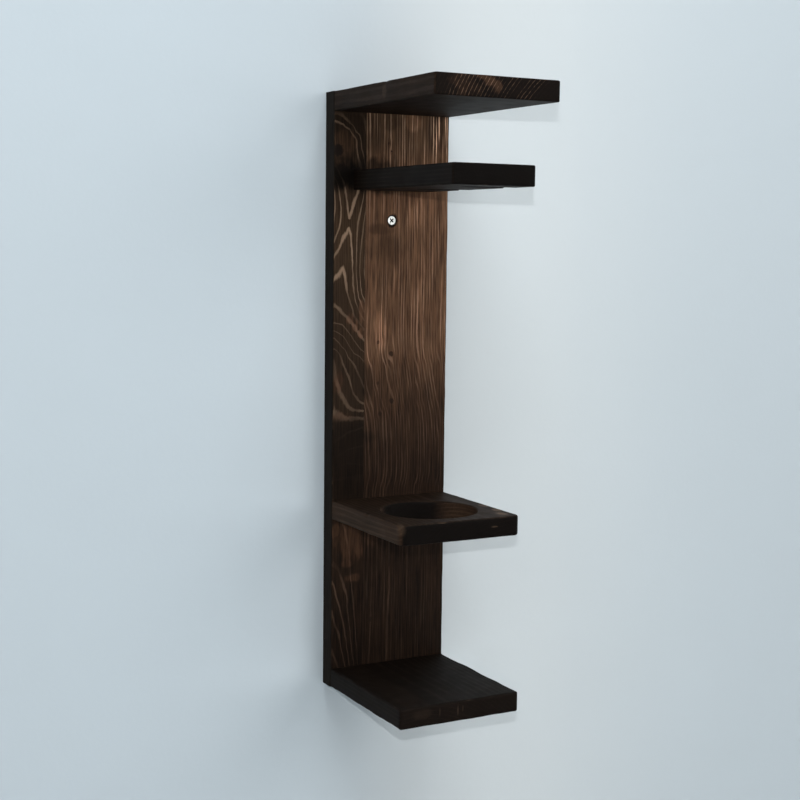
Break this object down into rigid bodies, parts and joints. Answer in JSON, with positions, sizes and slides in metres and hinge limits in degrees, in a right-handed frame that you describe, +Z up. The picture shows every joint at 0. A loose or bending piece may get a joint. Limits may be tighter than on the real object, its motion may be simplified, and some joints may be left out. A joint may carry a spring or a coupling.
{
  "type": "wall-mounted wine bottle holder",
  "caption": "Narrow dark-stained wooden wall rack: a tall back board with a base and a collar shelf that hold one wine bottle, a slotted shelf for stemmed glasses and a top shelf.",
  "frame": {"origin": "middle of the back board's lower rear edge, on the wall plane", "axes": "+Z up the wall, +Y into the wall, so the shelves reach out along -Y; +X to the right as seen from the room"},
  "size_m": [0.12, 0.2448, 0.552],
  "materials": {
    "stained_pine": "dark walnut stain, satin, grain showing through, sanded edges",
    "zinc_steel": "bright zinc"
  },
  "bodies": {
    "root": {"back_board": "stained_pine", "top_shelf": "stained_pine", "glass_shelf": "stained_pine", "collar_shelf": "stained_pine", "base_shelf": "stained_pine", "top_shelf_screws": "zinc_steel", "glass_shelf_screws": "zinc_steel", "collar_shelf_screws": "zinc_steel", "base_shelf_screws": "zinc_steel", "wall_screw": "zinc_steel"}
  },
  "joints": []
}
